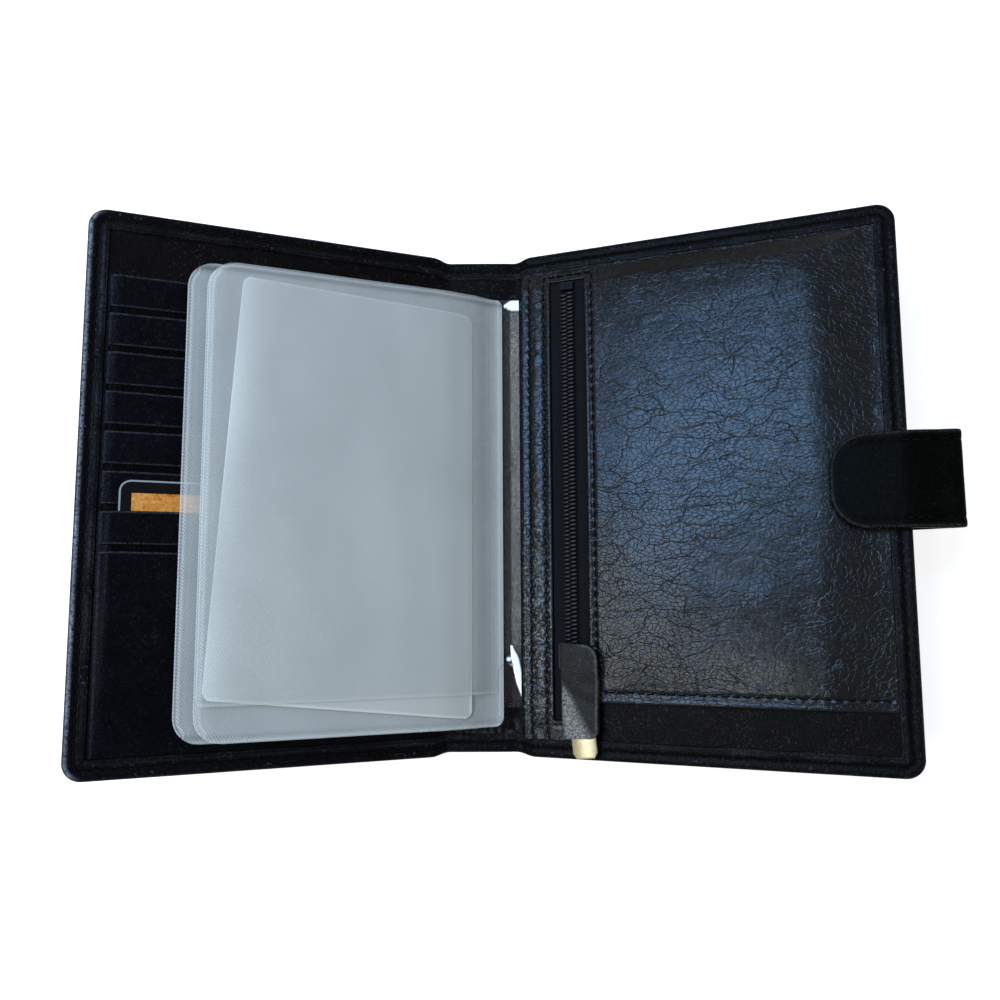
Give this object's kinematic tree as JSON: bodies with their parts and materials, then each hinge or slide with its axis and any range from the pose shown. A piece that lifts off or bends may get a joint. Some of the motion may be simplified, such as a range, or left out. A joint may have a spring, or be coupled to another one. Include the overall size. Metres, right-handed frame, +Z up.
{
  "type": "travel document wallet",
  "caption": "Open leather travel wallet with stepped card slots, a clear page insert, a zip pocket with a leather pull and a closure strap at the fore edge.",
  "frame": {"origin": "centre of the spine's underside, on the surface the wallet lies on", "axes": "+X across the open wallet towards the cover with the strap, +Y along the wallet's height, +Z up"},
  "size_m": [0.2278, 0.15, 0.0466],
  "materials": {
    "outer_leather": "polished grain",
    "lining_leather": "satin grain",
    "gloss_leather": "glossy grain",
    "board": "matte pressed fibre",
    "cloth": "matte woven",
    "nylon": "satin",
    "clear_plastic": "frosted, fine diamond emboss",
    "card_plastic": "laminated",
    "black_metal": "black plated",
    "pale_metal": "polished",
    "magnet_steel": "plain"
  },
  "bodies": {
    "spine": {"spine_leather": "outer_leather", "spine_board": "board", "spine_lining": "lining_leather", "left_fold": "outer_leather", "right_fold": "outer_leather", "insert_binding": "clear_plastic"},
    "left_cover": {"left_cover_leather": "outer_leather", "left_cover_board": "board", "left_cover_lining": "lining_leather", "catch_plate": "magnet_steel", "card_slot_1": "lining_leather", "card_slot_2": "lining_leather", "card_slot_3": "lining_leather", "card_slot_4": "lining_leather", "card_slot_5": "lining_leather", "card_slot_6": "lining_leather", "card_slot_7": "lining_leather", "card_slot_8": "lining_leather"},
    "card": {"travel_card": "card_plastic"},
    "rear_leaf": {"rear_leaf": "clear_plastic"},
    "middle_leaf": {"middle_leaf": "clear_plastic"},
    "front_leaf": {"front_leaf": "clear_plastic"},
    "sleeve": {"loose_sleeve": "clear_plastic"},
    "right_cover": {"right_cover_leather": "outer_leather", "right_cover_board": "board", "right_cover_lining": "lining_leather", "zip_pocket_bag": "cloth", "zip_facing": "lining_leather", "pocket_panel": "gloss_leather", "zip_tape_left": "cloth", "zip_tape_right": "cloth", "zip_coil_left": "nylon", "zip_coil_right": "nylon", "zip_stop_joined": "nylon", "zip_stop_closed": "nylon", "strap_root": "outer_leather"},
    "slider": {"zip_slider": "black_metal", "zip_bail": "black_metal"},
    "pull": {"zip_pull_plate": "pale_metal", "zip_pull_leather": "lining_leather"},
    "strap_first": {"strap_first_bend": "outer_leather"},
    "strap_second": {"strap_second_bend": "outer_leather"},
    "strap_tab": {"strap_end_outer": "outer_leather", "strap_end_lining": "lining_leather", "strap_magnet": "magnet_steel"}
  },
  "joints": [
    {"name": "left_cover_hinge", "type": "hinge", "parent": "spine", "child": "left_cover", "pos_m": [-0.0115, 0, 0.0013], "axis": [0, 1, 0], "range_deg": [-22.3, 69.7]},
    {"name": "right_cover_hinge", "type": "hinge", "parent": "spine", "child": "right_cover", "pos_m": [0.0115, 0, 0.0013], "axis": [0, -1, 0], "range_deg": [-19.6, 70.1]},
    {"name": "rear_leaf_turn", "type": "hinge", "parent": "spine", "child": "rear_leaf", "pos_m": [-0.0035, 0, 0.00265], "axis": [0, 1, 0], "range_deg": [-21.3, 66.3]},
    {"name": "middle_leaf_turn", "type": "hinge", "parent": "rear_leaf", "child": "middle_leaf", "pos_m": [-0.00316, 0, 0.00348], "axis": [0, -1, 0], "range_deg": [-12, 0]},
    {"name": "front_leaf_turn", "type": "hinge", "parent": "middle_leaf", "child": "front_leaf", "pos_m": [-0.00283, 0, 0.00432], "axis": [0, -1, 0], "range_deg": [-106, 0]},
    {"name": "sleeve_slide", "type": "slide", "parent": "front_leaf", "child": "sleeve", "axis": [0, 1, 0], "range_m": [-0.06, 0]},
    {"name": "card_slide", "type": "slide", "parent": "left_cover", "child": "card", "axis": [-0.0104, -0.9996, -0.0253], "range_m": [-0.042, 0]},
    {"name": "zip_slide", "type": "slide", "parent": "right_cover", "child": "slider", "axis": [0, -1, 0], "range_m": [-0.1, 0]},
    {"name": "zip_pull_hinge", "type": "hinge", "parent": "slider", "child": "pull", "pos_m": [0.02459, -0.0445, 0.01202], "axis": [0.926, 0.1045, 0.3629], "range_deg": [-90, 0]},
    {"name": "strap_bend", "type": "hinge", "parent": "strap_first", "child": "strap_second", "pos_m": [0.12146, 0, 0.04575], "axis": [0, 1, 0], "range_deg": [0, 140]},
    {"name": "strap_root_bend", "type": "hinge", "parent": "right_cover", "child": "strap_first", "pos_m": [0.11332, 0, 0.03857], "axis": [0, -1, 0], "range_deg": [0, 70]},
    {"name": "strap_tab_bend", "type": "hinge", "parent": "strap_second", "child": "strap_tab", "pos_m": [0.10966, 0, 0.04546], "axis": [0, -1, 0], "range_deg": [0, 70]}
  ],
  "couplings": [
    {"joint": "rear_leaf_turn", "follows": "left_cover_hinge", "ratio": 0.95},
    {"joint": "strap_root_bend", "follows": "strap_bend", "ratio": 0.5},
    {"joint": "strap_tab_bend", "follows": "strap_bend", "ratio": 0.5}
  ]
}
